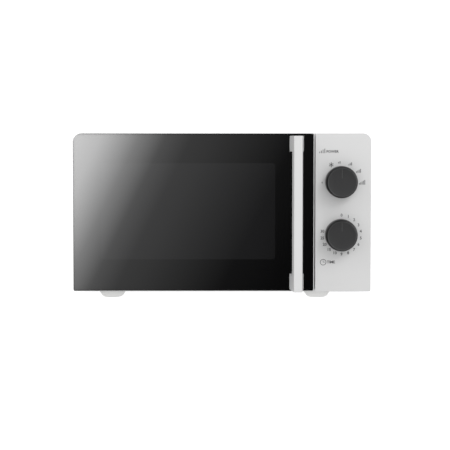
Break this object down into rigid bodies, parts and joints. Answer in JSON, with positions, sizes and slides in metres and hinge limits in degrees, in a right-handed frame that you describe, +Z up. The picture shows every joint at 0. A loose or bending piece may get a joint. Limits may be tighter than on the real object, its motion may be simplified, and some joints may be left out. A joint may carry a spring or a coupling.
{
  "type": "microwave oven",
  "caption": "Countertop microwave oven with a side-hinged black glass door, a bar handle, power and timer knobs, a lit cavity, a turntable and its internal drive parts.",
  "frame": {"origin": "under the middle of the oven, on the surface that its feet stand on", "axes": "+X to the right seen from the front, -Y towards the front, +Z up"},
  "size_m": [0.44, 0.4004, 0.2485],
  "materials": {
    "case_paint": "powder coated white",
    "frame_paint": "painted light grey",
    "cavity_paint": "painted light grey, satin",
    "galvanised_sheet": "galvanised, dull",
    "mica_sheet": "mica board, satin",
    "fin_aluminium": "rolled",
    "core_iron": "varnished laminations",
    "enamel_wire": "enamelled copper",
    "duct_plastic": "natural, moulded",
    "black_plastic": "moulded",
    "red_plastic": "moulded",
    "bulb_glass": "clear",
    "board_resin": "circuit board",
    "panel_white": "fine satin moulding",
    "trim_white": "fine satin moulding",
    "handle_white": "satin gloss moulding",
    "knob_grey": "dark grey moulding",
    "shaft_steel": "turned",
    "door_black_glass": "black printed, mirror gloss",
    "screen_steel": "black enamel",
    "choke_plastic": "dark grey moulding",
    "clear_film": "clear sheet",
    "plate_glass": "clear tempered",
    "ring_plastic": "moulded",
    "foot_plastic": "moulded"
  },
  "bodies": {
    "oven": {"outer_case": "case_paint", "rear_panel": "galvanised_sheet", "base_plate": "galvanised_sheet", "front_frame": "frame_paint", "latch_plate": "frame_paint", "cavity": "cavity_paint", "waveguide": "galvanised_sheet", "waveguide_cover": "mica_sheet", "magnetron_anode": "fin_aluminium", "magnetron_yoke": "galvanised_sheet", "transformer_core": "core_iron", "transformer_windings": "enamel_wire", "capacitor": "fin_aluminium", "capacitor_strap": "galvanised_sheet", "hv_diode": "black_plastic", "fan_shroud": "duct_plastic", "fan_motor": "core_iron", "lamp_holder": "duct_plastic", "lamp_bulb": "bulb_glass", "thermal_cutouts": "black_plastic", "filter_board": "board_resin", "fuse_holder": "black_plastic", "power_switch": "duct_plastic", "timer_switch": "duct_plastic", "control_panel": "panel_white", "interlock_bracket": "duct_plastic", "microswitches": "black_plastic", "hinge_brackets": "galvanised_sheet", "hinge_pins": "shaft_steel", "turntable_motor": "galvanised_sheet", "feet": "foot_plastic", "cord_grommet": "black_plastic", "rear_spacers": "black_plastic", "case_screws": "shaft_steel"},
    "door": {"hinge_bushes": "duct_plastic", "door_glass": "door_black_glass", "door_trim": "trim_white", "door_steel": "screen_steel", "choke_cover": "choke_plastic", "inner_film": "clear_film", "handle": "handle_white", "handle_screws": "shaft_steel", "latch_spring": "shaft_steel"},
    "latch": {"latch_slider": "duct_plastic"},
    "lever": {"interlock_lever": "duct_plastic"},
    "primary_button": {"primary_plunger": "red_plastic"},
    "secondary_button": {"secondary_plunger": "red_plastic"},
    "monitor_button": {"monitor_plunger": "red_plastic"},
    "power_control": {"power_knob": "knob_grey", "power_shaft": "shaft_steel"},
    "timer_control": {"timer_knob": "knob_grey", "timer_shaft": "shaft_steel"},
    "fan": {"fan_blade": "duct_plastic"},
    "turntable": {"drive_shaft": "shaft_steel", "coupler": "ring_plastic"},
    "plate": {"glass_plate": "plate_glass"},
    "ring": {"roller_ring": "ring_plastic"},
    "wheel_a": {"roller_a": "ring_plastic"},
    "wheel_b": {"roller_b": "ring_plastic"},
    "wheel_c": {"roller_c": "ring_plastic"}
  },
  "joints": [
    {"name": "door_hinge", "type": "hinge", "parent": "oven", "child": "door", "pos_m": [-0.209, -0.14525, 0.1315], "axis": [0, 0, -1], "range_deg": [0, 100]},
    {"name": "latch_slide", "type": "slide", "parent": "door", "child": "latch", "axis": [0, 0, 1], "range_m": [0, 0.005], "stiffness_N_per_m": 250, "springref_m": -0.004, "deforming": ["latch_spring"]},
    {"name": "lever_tilt", "type": "hinge", "parent": "oven", "child": "lever", "pos_m": [0.119, -0.11175, 0.0965], "axis": [-1, 0, 0], "range_deg": [0, 5], "stiffness_Nm_per_rad": 0.02},
    {"name": "power_turn", "type": "hinge", "parent": "oven", "child": "power_control", "pos_m": [0.1756, -0.16425, 0.1769], "axis": [0, 1, 0], "range_deg": [-90, 90]},
    {"name": "timer_turn", "type": "hinge", "parent": "oven", "child": "timer_control", "pos_m": [0.1756, -0.16425, 0.0988], "axis": [0, 1, 0], "range_deg": [0, 280]},
    {"name": "fan_spin", "type": "hinge", "parent": "oven", "child": "fan", "pos_m": [0.1605, 0.15225, 0.1615], "axis": [0, 1, 0], "continuous": true},
    {"name": "turntable_spin", "type": "hinge", "parent": "oven", "child": "turntable", "pos_m": [-0.05, 0.01975, 0.0355], "axis": [0, 0, 1], "continuous": true},
    {"name": "plate_lift", "type": "slide", "parent": "turntable", "child": "plate", "axis": [0, 0, 1], "range_m": [0, 0.03]},
    {"name": "ring_spin", "type": "hinge", "parent": "oven", "child": "ring", "pos_m": [-0.05, 0.01975, 0.0355], "axis": [0, 0, 1], "continuous": true},
    {"name": "wheel_a_spin", "type": "hinge", "parent": "ring", "child": "wheel_a", "pos_m": [-0.05, 0.11775, 0.0435], "axis": [0, 1, 0], "continuous": true},
    {"name": "wheel_b_spin", "type": "hinge", "parent": "ring", "child": "wheel_b", "pos_m": [-0.13487, -0.02925, 0.0435], "axis": [-0.866, -0.5, 0], "continuous": true},
    {"name": "wheel_c_spin", "type": "hinge", "parent": "ring", "child": "wheel_c", "pos_m": [0.03487, -0.02925, 0.0435], "axis": [0.866, -0.5, 0], "continuous": true},
    {"name": "primary_press", "type": "slide", "parent": "oven", "child": "primary_button", "axis": [0, 1, 0], "range_m": [0, 0.001], "stiffness_N_per_m": 300},
    {"name": "secondary_press", "type": "slide", "parent": "oven", "child": "secondary_button", "axis": [0, 1, 0], "range_m": [0, 0.001], "stiffness_N_per_m": 300},
    {"name": "monitor_press", "type": "slide", "parent": "oven", "child": "monitor_button", "axis": [0, 1, 0], "range_m": [0, 0.001], "stiffness_N_per_m": 300}
  ],
  "couplings": [
    {"joint": "ring_spin", "follows": "turntable_spin", "ratio": 0.5},
    {"joint": "wheel_a_spin", "follows": "turntable_spin", "ratio": -6.125},
    {"joint": "wheel_b_spin", "follows": "turntable_spin", "ratio": -6.125},
    {"joint": "wheel_c_spin", "follows": "turntable_spin", "ratio": -6.125}
  ]
}
